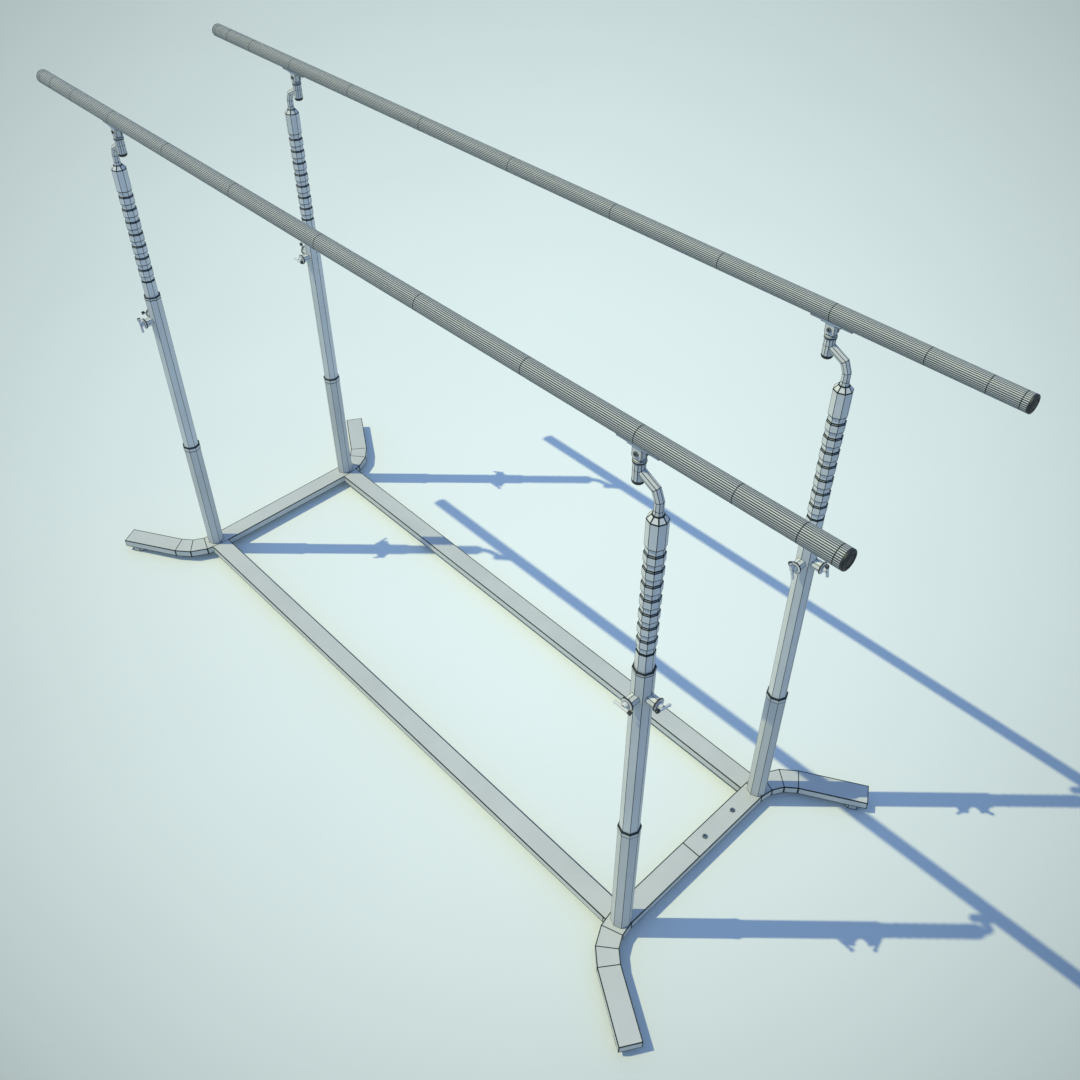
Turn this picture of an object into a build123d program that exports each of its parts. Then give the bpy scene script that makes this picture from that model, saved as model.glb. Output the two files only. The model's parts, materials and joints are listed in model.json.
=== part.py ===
from build123d import *
import os
from math import cos, radians, sin, sqrt

# Gymnastics parallel bars.  Millimetres, +Z up, the floor is Z = 0.
# The rails run along X and lie side by side along Y.  The origin is on the
# floor below the middle of the rails.  "near" posts stand at +X, "far" posts
# at -X; "front" is the -Y side and "back" the +Y side.

# ---- driving dimensions: whole frame ---------------------------------------
POST_SPACING_X = 2520.0   # upright to upright along a rail
POST_SPACING_Y = 720.0    # upright to upright across, and rail to rail
RAIL_LENGTH = 3456.0
RAIL_R = 25.0
RAIL_AXIS_Z = 2038.0

OVERCUT = 1.0             # how far a cut runs past the face it opens
HEX = 6                   # sides of nuts and key sockets

# ---- base -------------------------------------------------------------------
BEAM_W = 78.0
BEAM_H = 32.0
BEAM_WALL = 3.0
BEAM_TOP_Z = 57.0
CROSS_BEAM_INSET = 4.0    # cross beam axis, inboard of the upright's axis
BEND_START_Y = 350.0      # the cross beam is straight as far as this
BEND_TURNS = (10.0, 19.0, 20.0, 10.0)
BEND_FACET = 61.0
FOOT_LENGTH = 250.0
END_PLATE = 6.0
SPIGOT_LENGTH = 240.0
SPIGOT_WALL = 3.0
SPIGOT_GAP = 0.2
BEAM_BOLT_YS = (74.0, 226.0)
BEAM_BOLT_R = 5.0
BEAM_BOLT_HEAD_R = 9.0
BEAM_BOLT_HEAD_H = 4.0
BEAM_BOLT_SOCKET_R = 4.0
BEAM_BOLT_SOCKET_H = 2.5
BEAM_NUT_H = 6.0
PAD_R = 39.2
PAD_BEVEL = 2.0
PAD_RECESS_H = 12.0
PAD_FROM_END = 47.0
PAD_SCREW_R = 3.0
PAD_SCREW_HEAD_R = 6.0
PAD_SCREW_HEAD_H = 4.0
PAD_SCREW_GRIP = 4.0

# ---- uprights: eight-sided tubes, sizes are radii over the corners ----------
SIDES = 8
LOWER_R = 35.0
LOWER_BORE_R = 32.3
LOWER_TOP_Z = 590.0
LOWER_COLLAR_R = 36.6
LOWER_COLLAR_H = 19.0
LOWER_COLLAR_LIP = 2.0
LOWER_BUSH_DEPTH = 60.0
LOWER_BUSH_TOP_R = 32.8
BUSH_FLANGE_H = 2.4
MIDDLE_R = 31.3
MIDDLE_BORE_R = 28.8
MIDDLE_TOP_Z = 1322.0
UPPER_COLLAR_R = 32.1
UPPER_COLLAR_H = 9.0
UPPER_BUSH_BORE_R = 27.9
UPPER_BUSH_DEPTH = 40.0
UPPER_BUSH_FLANGE_R = 31.5
UPPER_BUSH_TOP_R = 29.5
INNER_R = 26.4
INNER_BORE_R = 21.0
BAND_R = 27.5
NOTCH_R = 24.5
NOTCH_COUNT = 8
NOTCH_PITCH = 48.6
NOTCH_H = 19.0
NOTCH_FLARE_H = 3.7
INNER_TOP_Z = 1760.0
INNER_BOTTOM_Z = 970.0
GUIDE_PLUG_R = 28.5
GUIDE_PLUG_H = 30.0
HEAD_R = 27.5
HEAD_SHOULDER_Z = 1840.0
HEAD_TOP_Z = 1854.0
HEAD_TOP_R = 15.6
HEAD_SPIGOT_H = 60.0

# ---- swan neck and swivel ---------------------------------------------------
NECK_R = 12.0
NECK_FLARE_R = 13.4
NECK_FLARE_H = 11.0
NECK_STEM_R = 11.0
NECK_STEM_H = 80.0
STEM_CLEARANCE = 0.06
REST_GAP = 0.3            # air gap under parts that turn on a shoulder
NECK_ROUTE = ((0.0, 1890.0), (12.0, 1919.0), (66.0, 1947.0))
ARM = 66.0                # upright's axis to swivel's axis
SWIVEL_SIDES = 12
SWIVEL_R = 15.7           # over the corners
SWIVEL_BOTTOM_Z = 1917.0
SWIVEL_JOINT_Z = 1947.0   # the barrel's two halves are welded here
SWIVEL_TOP_Z = 1968.0
SWIVEL_RING_R = 17.3
SWIVEL_RING_H = 3.0
SWIVEL_CAP_R = 15.9
SWIVEL_CAP_H = 11.0
SWIVEL_CAP_ROUND = 7.7
PIN_R = 8.0
PIN_TIP_GAP = 2.0
PIN_FLANGE_R = 16.6
PIN_FLANGE_H = 4.0
TONGUE_W = 22.0
TONGUE_T = 16.0
CROSS_BOLT_Z = 1995.0

# ---- rail saddle ------------------------------------------------------------
EAR_W = 28.0
EAR_T = 4.5
EAR_GAP = 17.0
EAR_BOTTOM_Z = 1979.0
EAR_TOP_Z = 2023.0
EAR_ROUND = 7.0
STRAP_LENGTH = 124.0
STRAP_T = 4.0
STRAP_W = 26.0
STRAP_STEP_LENGTH = 58.0
STRAP_STEP_T = 2.5
SLIDER_GAP = 0.3          # far saddles slide under the rail
CROSS_BOLT_R = 5.0
CROSS_BOLT_HEAD_R = 6.8
CROSS_BOLT_HEAD_H = 4.0
CROSS_BOLT_SOCKET_R = 3.2
CROSS_BOLT_SOCKET_H = 2.5
CROSS_BOLT_TAIL = 2.0
CROSS_NUT_R = 7.8
SADDLE_SCREW_X = 46.0
SADDLE_SCREW_R = 2.5
SADDLE_SCREW_HEAD_R = 5.0
SADDLE_SCREW_HEAD_H = 2.5
SADDLE_SCREW_DEPTH = 12.0
SCREW_SEAT_R = 6.0
SCREW_SEAT_DEPTH = 0.8
T_SLOT_OUTWARD = 44.0     # from the screw's rest place towards the rail's end
T_SLOT_INWARD = 6.0
T_SLOT_R = 2.8
T_HEAD_R = 4.6
T_HEAD_H = 3.0
T_HEAD_ROOM = 3.0

# ---- rail -------------------------------------------------------------------
RAIL_CAP_LENGTH = 8.0
RAIL_CAP_ROUND = 3.5
RAIL_CAP_PLUG_R = 14.0
RAIL_CAP_PLUG_LENGTH = 40.0
RAIL_CAP_GROOVE_R = 17.0
RAIL_CAP_BUTTON_R = 13.0
RAIL_CAP_GROOVE_DEPTH = 1.2
RAIL_CAP_BUTTON_DEPTH = 0.4

# ---- clamp levers -----------------------------------------------------------
LEVER_Z = 1228.0
BOSS_R = 16.5
BOSS_REACH = 54.0
SCREW_R = 6.0
SCREW_CLEARANCE = 0.05
SCREW_TIP = 28.4          # the clamped screw's tip, from the upright's axis
DISC_R = 19.5
DISC_T = 5.0
DISC_ROUND = 1.4
HUB_R = 10.0
HUB_TIP_R = 7.5
HUB_H = 12.0
BAR_R = 4.8
BAR_OFFSET = 19.0
BAR_TO_CAP = 20.0
BAR_TO_TIP = 32.0
BAR_ROUND = 3.8
LEVER_CAP_R = 6.2
LEVER_CAP_H = 8.0
LEVER_CAP_ROUND = 2.0

END_SIGNS = {"near": 1, "far": -1}
SIDE_SIGNS = {"front": -1, "back": 1}

# Direction of each lever's capped end at rest: degrees from straight up,
# towards the lever's "along" direction (see lever_shape).
LEVER_ANGLES = {
    ("far", "front", "side"): -8.0,
    ("far", "front", "end"): 90.0,
    ("far", "back", "side"): 88.0,
    ("far", "back", "end"): 12.0,
    ("near", "front", "side"): 91.0,
    ("near", "front", "end"): 71.0,
    ("near", "back", "side"): -18.0,
    ("near", "back", "end"): 16.0,
}


# ---- helpers ----------------------------------------------------------------
def prism(radius, sides, z_low, z_high):
    """Many-sided bar on the Z axis."""
    return Pos(0, 0, z_low) * extrude(RegularPolygon(radius, sides), z_high - z_low)


def octagon(radius, z_low, z_high):
    """Eight-sided bar on the Z axis, corners on the X and Y directions."""
    return prism(radius, SIDES, z_low, z_high)


def octagon_cone(radius_low, radius_high, z_low, z_high):
    low = Pos(0, 0, z_low) * RegularPolygon(radius_low, SIDES)
    high = Pos(0, 0, z_high) * RegularPolygon(radius_high, SIDES)
    return loft([low, high])


def rod(radius, z_low, z_high):
    """Round bar on the Z axis."""
    return Pos(0, 0, z_low) * extrude(Circle(radius), z_high - z_low)


def rod_y(radius, y_low, y_high):
    """Round bar along Y through the X, Z origin."""
    return Rot(-90, 0, 0) * rod(radius, y_low, y_high)


def block(x_low, x_high, y_low, y_high, z_low, z_high):
    size = (x_high - x_low, y_high - y_low, z_high - z_low)
    middle = ((x_low + x_high) / 2, (y_low + y_high) / 2, (z_low + z_high) / 2)
    return Pos(*middle) * Box(*size)


def save(name, *solids):
    """Write one node: its solids side by side in one STEP file."""
    shape = solids[0] if len(solids) == 1 else Compound(children=list(solids))
    export_step(shape, f"parts/{name}.step")


def post_centre(end, side):
    x = END_SIGNS[end] * POST_SPACING_X / 2
    y = SIDE_SIGNS[side] * POST_SPACING_Y / 2
    return x, y


def inward(end):
    """+1 where the rail's middle lies towards +X of this end, else -1."""
    return -END_SIGNS[end]


def at_post(end, side, shape):
    """Place a shape made on the Z axis, its +X side facing the rail's middle."""
    x, y = post_centre(end, side)
    turned = shape if inward(end) > 0 else mirror(shape, about=Plane.YZ)
    return Pos(x, y, 0) * turned


def every_post():
    return [(end, side) for end in END_SIGNS for side in SIDE_SIGNS]


# ---- base -------------------------------------------------------------------
def bend_line():
    """Axis of half a cross beam for +X, +Y: outward bend, then the foot."""
    x, y = 0.0, BEND_START_Y
    points = [(x, 0.0), (x, y)]
    turn = 0.0
    lengths = [BEND_FACET] * (len(BEND_TURNS) - 1) + [FOOT_LENGTH]
    for step, length in zip(BEND_TURNS, lengths):
        turn += step
        x += length * sin(radians(turn))
        y += length * cos(radians(turn))
        points.append((x, y))
    return points, turn


def ribbon(points, half_width, shorten=0.0):
    """Flat outline of constant width along a bent line, with mitred corners."""
    headings = []
    for (x0, y0), (x1, y1) in zip(points, points[1:]):
        length = sqrt((x1 - x0) ** 2 + (y1 - y0) ** 2)
        headings.append(((x1 - x0) / length, (y1 - y0) / length))
    left, right = [], []
    for i, (x, y) in enumerate(points):
        before = headings[max(i - 1, 0)]
        after = headings[min(i, len(headings) - 1)]
        tangent = (before[0] + after[0], before[1] + after[1])
        scale = sqrt(tangent[0] ** 2 + tangent[1] ** 2)
        tangent = (tangent[0] / scale, tangent[1] / scale)
        reach = half_width / (tangent[0] * after[0] + tangent[1] * after[1])
        if i == len(points) - 1:
            x, y = x - shorten * after[0], y - shorten * after[1]
        left.append((x - reach * tangent[1], y + reach * tangent[0]))
        right.append((x + reach * tangent[1], y - reach * tangent[0]))
    return make_face(Polyline(left + right[::-1], close=True))


def cross_beam_half():
    """Bent box tube, open at the mid joint, for the +X, +Y quarter."""
    points, _ = bend_line()
    low = BEAM_TOP_Z - BEAM_H
    outer = Pos(0, 0, low) * extrude(ribbon(points, BEAM_W / 2, END_PLATE), BEAM_H)
    bore_face = ribbon(points, BEAM_W / 2 - BEAM_WALL)
    bore = Pos(0, 0, low + BEAM_WALL) * extrude(bore_face, BEAM_H - 2 * BEAM_WALL)
    return outer - bore


def foot_end():
    """End point and outward heading of the +X, +Y foot's axis."""
    points, turn = bend_line()
    return points[-1], (sin(radians(turn)), cos(radians(turn))), turn


def foot_end_plate():
    (x, y), _, turn = foot_end()
    plate = block(-BEAM_W / 2, BEAM_W / 2, -END_PLATE, 0, BEAM_TOP_Z - BEAM_H, BEAM_TOP_Z)
    return Pos(x, y, 0) * Rot(0, 0, -turn) * plate


def pad_centre():
    (x, y), heading, _ = foot_end()
    return x - PAD_FROM_END * heading[0], y - PAD_FROM_END * heading[1]


def foot_pad():
    """Rubber pad: eight-sided, one flat along the foot's side, with a screw recess."""
    _, _, turn = foot_end()
    underside = BEAM_TOP_Z - BEAM_H
    body = octagon_cone(PAD_R - PAD_BEVEL, PAD_R, 0, PAD_BEVEL)
    body += octagon(PAD_R, PAD_BEVEL, underside)
    body -= rod(PAD_SCREW_HEAD_R, 0, PAD_RECESS_H)
    body -= rod(PAD_SCREW_R, 0, underside)
    return Pos(*pad_centre(), 0) * Rot(0, 0, 180 / SIDES - turn) * body


def pad_screw():
    tip = BEAM_TOP_Z - BEAM_H + BEAM_WALL + PAD_SCREW_GRIP
    screw = rod(PAD_SCREW_HEAD_R, PAD_RECESS_H - PAD_SCREW_HEAD_H, PAD_RECESS_H)
    screw += rod(PAD_SCREW_R, PAD_RECESS_H, tip)
    return Pos(*pad_centre(), 0) * screw


def quarter(shape, end, side):
    """Carry a +X, +Y quarter shape to one corner of the base."""
    if END_SIGNS[end] < 0:
        shape = mirror(shape, about=Plane.YZ)
    if SIDE_SIGNS[side] < 0:
        shape = mirror(shape, about=Plane.XZ)
    x, _ = post_centre(end, side)
    return Pos(x - END_SIGNS[end] * CROSS_BEAM_INSET, 0, 0) * shape


def screw_hole():
    """Clearance for the pad screw in the cross beam's lower wall."""
    low = BEAM_TOP_Z - BEAM_H
    return Pos(*pad_centre(), 0) * rod(PAD_SCREW_R, low - OVERCUT, low + BEAM_WALL + OVERCUT)


def beam_bolt(x, y):
    low = BEAM_TOP_Z - BEAM_H
    head_top = BEAM_TOP_Z + BEAM_BOLT_HEAD_H
    bolt = rod(BEAM_BOLT_R, low - BEAM_NUT_H, BEAM_TOP_Z)
    head = octagon(BEAM_BOLT_HEAD_R, BEAM_TOP_Z, head_top)
    socket = prism(BEAM_BOLT_SOCKET_R, HEX, head_top - BEAM_BOLT_SOCKET_H, head_top)
    nut = prism(BEAM_BOLT_HEAD_R, HEX, low - BEAM_NUT_H, low)
    return Pos(x, y, 0) * (bolt + head + nut - socket)


def box_tube(length, width, height, wall):
    """Box tube along X, centred on the origin."""
    bore = Box(length + 2 * OVERCUT, width - 2 * wall, height - 2 * wall)
    return Box(length, width, height) - bore


def build_base():
    cross_x = {end: post_centre(end, "front")[0] - END_SIGNS[end] * CROSS_BEAM_INSET
               for end in END_SIGNS}
    half_depth = BEAM_W / 2
    middle_z = BEAM_TOP_Z - BEAM_H / 2
    bolt_holes = [Pos(cross_x["near"], y, middle_z) * Cylinder(BEAM_BOLT_R, BEAM_H + 2 * OVERCUT)
                  for y in BEAM_BOLT_YS]
    for end in END_SIGNS:
        halves = []
        for side in SIDE_SIGNS:
            half = quarter(cross_beam_half() - screw_hole(), end, side)
            if end == "near" and side == "back":
                half -= Compound(children=bolt_holes)
            halves.append(half)
        save(f"{end}_cross_beam", *halves)
    x_low = cross_x["far"] + half_depth
    x_high = cross_x["near"] - half_depth
    for side, sign in SIDE_SIGNS.items():
        halves = []
        for low, high in ((x_low, 0), (0, x_high)):
            tube = box_tube(high - low, BEAM_W, BEAM_H, BEAM_WALL)
            halves.append(Pos((low + high) / 2, sign * POST_SPACING_Y / 2, middle_z) * tube)
        save(f"{side}_long_beam", *halves)
    inner_w = BEAM_W - 2 * BEAM_WALL - 2 * SPIGOT_GAP
    inner_h = BEAM_H - 2 * BEAM_WALL - 2 * SPIGOT_GAP
    spigot = box_tube(SPIGOT_LENGTH, inner_w, inner_h, SPIGOT_WALL)
    long_spigots = [Pos(0, sign * POST_SPACING_Y / 2, middle_z) * spigot
                    for sign in SIDE_SIGNS.values()]
    cross_spigots = [Pos(cross_x[end], 0, middle_z) * Rot(0, 0, 90) * spigot
                     for end in END_SIGNS]
    cross_spigots[0] -= bolt_holes[0]
    save("beam_joint_spigots", *long_spigots, *cross_spigots)
    save("beam_bolts", *[beam_bolt(cross_x["near"], y) for y in BEAM_BOLT_YS])
    save("foot_end_plates", *[quarter(foot_end_plate(), *post) for post in every_post()])
    save("foot_pads", *[quarter(foot_pad(), *post) for post in every_post()])
    save("pad_screws", *[quarter(pad_screw(), *post) for post in every_post()])


# ---- fixed part of the uprights ----------------------------------------------
def lower_tube():
    return octagon(LOWER_R, BEAM_TOP_Z, LOWER_TOP_Z) - octagon(LOWER_BORE_R, BEAM_TOP_Z, LOWER_TOP_Z)


def lower_collar():
    """Clamp collar standing on the lower tube's top edge."""
    top = LOWER_TOP_Z + LOWER_COLLAR_H
    lip_low = top - LOWER_COLLAR_LIP
    collar = octagon(LOWER_COLLAR_R, LOWER_TOP_Z, lip_low)
    collar += octagon_cone(LOWER_COLLAR_R, LOWER_COLLAR_R - LOWER_COLLAR_LIP, lip_low, top)
    return collar - octagon(LOWER_BORE_R, LOWER_TOP_Z, top)


def lower_bush():
    """Guide bush between the lower and the middle tube, with a top flange."""
    low, top = LOWER_TOP_Z - LOWER_BUSH_DEPTH, LOWER_TOP_Z + LOWER_COLLAR_H
    flange_top = top + BUSH_FLANGE_H
    sleeve = octagon(LOWER_BORE_R, low, top)
    flange = octagon_cone(LOWER_COLLAR_R - LOWER_COLLAR_LIP, LOWER_BUSH_TOP_R, top, flange_top)
    return sleeve + flange - octagon(MIDDLE_R, low, flange_top)


def middle_tube():
    tube = octagon(MIDDLE_R, BEAM_TOP_Z, MIDDLE_TOP_Z)
    return tube - octagon(MIDDLE_BORE_R, BEAM_TOP_Z, MIDDLE_TOP_Z)


def upper_collar():
    top = MIDDLE_TOP_Z + UPPER_COLLAR_H
    return octagon(UPPER_COLLAR_R, MIDDLE_TOP_Z, top) - octagon(MIDDLE_BORE_R, MIDDLE_TOP_Z, top)


def upper_bush():
    """Guide bush for the inner post, with a thin flange on the collar."""
    low, top = MIDDLE_TOP_Z - UPPER_BUSH_DEPTH, MIDDLE_TOP_Z + UPPER_COLLAR_H
    flange_top = top + BUSH_FLANGE_H
    sleeve = octagon(MIDDLE_BORE_R, low, top)
    flange = octagon_cone(UPPER_BUSH_FLANGE_R, UPPER_BUSH_TOP_R, top, flange_top)
    return sleeve + flange - octagon(UPPER_BUSH_BORE_R, low, flange_top)


def lever_frame(end, side, face):
    """Location whose +Z points out along a lever's boss from the upright's axis.

    Its +X is straight up, and its +Y is the direction that LEVER_ANGLES turns
    towards: +X for a lever on the -Y face, -Y for one on the outer end face.
    """
    x, y = post_centre(end, side)
    if face == "side":
        outward, along = Vector(0, -1, 0), Vector(1, 0, 0)
    else:
        outward, along = Vector(END_SIGNS[end], 0, 0), Vector(0, -1, 0)
    plane = Plane(origin=(x, y, LEVER_Z), x_dir=(0, 0, 1), z_dir=outward)
    handed = 1 if plane.y_dir.dot(along) > 0 else -1
    return plane.location, handed


def lever_boss():
    """Eight-sided threaded boss, welded over a corner of the middle tube."""
    boss = octagon(BOSS_R, 0, BOSS_REACH)
    return boss - rod(SCREW_R + SCREW_CLEARANCE, 0, BOSS_REACH)


def build_fixed_uprights():
    bores = {}
    bosses = []
    for post in every_post():
        x, y = post_centre(*post)
        cuts = []
        for face in ("side", "end"):
            location, _ = lever_frame(*post, face)
            cuts.append(location * rod(SCREW_R + SCREW_CLEARANCE, 0, BOSS_REACH))
            boss = location * lever_boss() - Pos(x, y, 0) * octagon(MIDDLE_R, 0, MIDDLE_TOP_Z)
            bosses.append(boss)
        bores[post] = cuts
    tubes = []
    for post in every_post():
        tube = Pos(*post_centre(*post), 0) * middle_tube()
        for cut in bores[post]:
            tube -= cut
        tubes.append(tube)
    save("middle_tubes", *tubes)
    save("lever_bosses", *bosses)
    repeated = {"lower_tubes": lower_tube(), "lower_collars": lower_collar(),
                "lower_bushes": lower_bush(), "upper_collars": upper_collar(),
                "upper_bushes": upper_bush()}
    for name, shape in repeated.items():
        save(name, *[Pos(*post_centre(*post), 0) * shape for post in every_post()])


# ---- sliding posts ------------------------------------------------------------
def notched_post():
    """Inner tube with ratchet notches below the head, and its guide plug."""
    notched_low = INNER_TOP_Z - NOTCH_COUNT * NOTCH_PITCH
    flare_drop = NOTCH_H + NOTCH_FLARE_H
    post = octagon(INNER_R, INNER_BOTTOM_Z, notched_low + NOTCH_PITCH - flare_drop)
    for i in range(NOTCH_COUNT):
        top = INNER_TOP_Z - i * NOTCH_PITCH
        neck_low = top - NOTCH_H
        below = BAND_R if i < NOTCH_COUNT - 1 else INNER_R
        post += octagon(NOTCH_R, neck_low, top)
        post += octagon_cone(below, NOTCH_R, top - flare_drop, neck_low)
        if i < NOTCH_COUNT - 1:
            post += octagon(BAND_R, top - NOTCH_PITCH, top - flare_drop)
    bore = octagon(INNER_BORE_R, INNER_BOTTOM_Z, INNER_TOP_Z)
    return post - bore


def guide_plug():
    """Plastic slide shoe at the inner tube's lower end."""
    shoe = octagon(GUIDE_PLUG_R, INNER_BOTTOM_Z - GUIDE_PLUG_H, INNER_BOTTOM_Z)
    tenon = octagon(INNER_BORE_R, INNER_BOTTOM_Z, INNER_BOTTOM_Z + GUIDE_PLUG_H)
    return shoe + tenon


def post_head():
    """Wider sleeve on top of the inner tube; the swan neck's stem turns in it."""
    head = octagon(HEAD_R, INNER_TOP_Z, HEAD_SHOULDER_Z)
    head += octagon_cone(HEAD_R, HEAD_TOP_R, HEAD_SHOULDER_Z, HEAD_TOP_Z)
    head += octagon(INNER_BORE_R, INNER_TOP_Z - HEAD_SPIGOT_H, INNER_TOP_Z)
    stem_floor = HEAD_TOP_Z + REST_GAP - NECK_STEM_H - REST_GAP
    return head - rod(NECK_STEM_R + STEM_CLEARANCE, stem_floor, HEAD_TOP_Z)


# ---- swan neck ------------------------------------------------------------------
def swan_neck():
    """Eight-sided bent arm with a round stem, reaching towards +X."""
    start = HEAD_TOP_Z + REST_GAP
    route = [(0, 0, start)] + [(x, 0, z) for x, z in NECK_ROUTE]
    section = Pos(0, 0, start) * RegularPolygon(NECK_R, SIDES)
    arm = sweep(section, path=Polyline(*route), transition=Transition.RIGHT)
    arm += octagon_cone(NECK_FLARE_R, NECK_R, start, start + NECK_FLARE_H)
    arm += rod(NECK_STEM_R, start - NECK_STEM_H, start)
    return arm - Pos(ARM, 0, 0) * prism(SWIVEL_R, SWIVEL_SIDES, SWIVEL_BOTTOM_Z, SWIVEL_TOP_Z)


def swivel_housing():
    """Twelve-sided barrel in two halves, bored for the pin."""
    halves = []
    for low, high in ((SWIVEL_BOTTOM_Z, SWIVEL_JOINT_Z), (SWIVEL_JOINT_Z, SWIVEL_TOP_Z)):
        half = prism(SWIVEL_R, SWIVEL_SIDES, low, high) - rod(PIN_R + STEM_CLEARANCE, low, high)
        halves.append(Pos(ARM, 0, 0) * half)
    return halves


def housing_seals():
    """Top ring and domed bottom cap of the swivel housing."""
    ring = rod(SWIVEL_RING_R, SWIVEL_TOP_Z, SWIVEL_TOP_Z + SWIVEL_RING_H)
    ring -= rod(PIN_R + STEM_CLEARANCE, SWIVEL_TOP_Z, SWIVEL_TOP_Z + SWIVEL_RING_H)
    cap = rod(SWIVEL_CAP_R, SWIVEL_BOTTOM_Z - SWIVEL_CAP_H, SWIVEL_BOTTOM_Z)
    cap = fillet(cap.edges().sort_by(Axis.Z)[0], SWIVEL_CAP_ROUND)
    return Pos(ARM, 0, 0) * ring, Pos(ARM, 0, 0) * cap


# ---- saddle -----------------------------------------------------------------------
def swivel_pin():
    """Pin with a flange and a tongue, carrying the rail saddle."""
    flange_low = SWIVEL_TOP_Z + SWIVEL_RING_H + REST_GAP
    flange_high = flange_low + PIN_FLANGE_H
    pin = rod(PIN_R, SWIVEL_BOTTOM_Z + PIN_TIP_GAP, flange_low)
    pin += rod(PIN_FLANGE_R, flange_low, flange_high)
    half_t = TONGUE_T / 2
    pin += block(-TONGUE_W / 2, TONGUE_W / 2, -half_t, half_t, flange_high, CROSS_BOLT_Z)
    pin += Pos(0, 0, CROSS_BOLT_Z) * rod_y(TONGUE_W / 2, -half_t, half_t)
    pin -= Pos(0, 0, CROSS_BOLT_Z) * rod_y(CROSS_BOLT_R, -half_t, half_t)
    return Pos(ARM, 0, 0) * pin


def rail_bar(radius, length):
    return Pos(0, 0, RAIL_AXIS_Z) * Rot(0, 90, 0) * Cylinder(radius, length)


def rail_clevis(gap):
    """Two ears on a cradle strap that lies along the rail's underside."""
    ears = []
    for sign in (-1, 1):
        inner = sign * EAR_GAP / 2
        outer = inner + sign * EAR_T
        low, high = sorted((inner, outer))
        ear = block(-EAR_W / 2, EAR_W / 2, low, high, EAR_BOTTOM_Z, EAR_TOP_Z)
        corners = ear.edges().filter_by(Axis.Y).group_by(Axis.Z)[0]
        ears.append(fillet(corners, EAR_ROUND))
    strap = rail_bar(RAIL_R + gap + STRAP_T, STRAP_LENGTH)
    strap += rail_bar(RAIL_R + gap + STRAP_T + STRAP_STEP_T, STRAP_STEP_LENGTH)
    strap &= block(-STRAP_LENGTH, STRAP_LENGTH, -STRAP_W / 2, STRAP_W / 2, EAR_BOTTOM_Z, RAIL_AXIS_Z)
    clevis = strap + ears[0] + ears[1] - rail_bar(RAIL_R + gap, STRAP_LENGTH + 2 * OVERCUT)
    clevis -= Pos(0, 0, CROSS_BOLT_Z) * rod_y(CROSS_BOLT_R, -EAR_GAP, EAR_GAP)
    hole = rod(SADDLE_SCREW_R, EAR_BOTTOM_Z, RAIL_AXIS_Z)
    hole += rod(SCREW_SEAT_R, EAR_BOTTOM_Z, strap_floor(gap))
    for sign in (-1, 1):
        clevis -= Pos(sign * SADDLE_SCREW_X, 0, 0) * hole
    return Pos(ARM, 0, 0) * clevis


def strap_floor(gap):
    """Level of the flats that the saddle screws' heads seat on."""
    return RAIL_AXIS_Z - RAIL_R - gap - STRAP_T + SCREW_SEAT_DEPTH


def cross_bolt():
    """Bolt along Y: its head on the front ear, its tail past the nut."""
    reach = EAR_GAP / 2 + EAR_T
    end = reach + CROSS_BOLT_HEAD_H
    bolt = rod_y(CROSS_BOLT_R, -reach, end + CROSS_BOLT_TAIL)
    head = octagon(CROSS_BOLT_HEAD_R, reach, end)
    head -= prism(CROSS_BOLT_SOCKET_R, HEX, end - CROSS_BOLT_SOCKET_H, end)
    return Pos(ARM, 0, CROSS_BOLT_Z) * (bolt + Rot(90, 0, 0) * head)


def cross_nut():
    reach = EAR_GAP / 2 + EAR_T
    nut = prism(CROSS_NUT_R, HEX, reach, reach + CROSS_BOLT_HEAD_H)
    nut -= rod(CROSS_BOLT_R, reach, reach + CROSS_BOLT_HEAD_H)
    return Pos(ARM, 0, CROSS_BOLT_Z) * Rot(-90, 0, 0) * nut


def saddle_screws(end):
    """Near saddles: wood screws.  Far saddles: T-bolts in the rail's slot."""
    gap = 0.0 if end == "near" else SLIDER_GAP
    floor = strap_floor(gap)
    tip = RAIL_AXIS_Z - RAIL_R + SADDLE_SCREW_DEPTH
    screws = []
    for sign in (-1, 1):
        screw = rod(SADDLE_SCREW_HEAD_R, floor - SADDLE_SCREW_HEAD_H, floor)
        screw += rod(SADDLE_SCREW_R, floor, tip)
        if end == "far":
            screw += rod(T_HEAD_R, tip - T_HEAD_H, tip)
        screws.append(Pos(ARM + sign * SADDLE_SCREW_X, 0, 0) * screw)
    return screws


# ---- rails --------------------------------------------------------------------------
def swivel_x(end):
    """World X of a swivel's axis."""
    x, _ = post_centre(end, "front")
    return x + inward(end) * ARM


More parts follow.
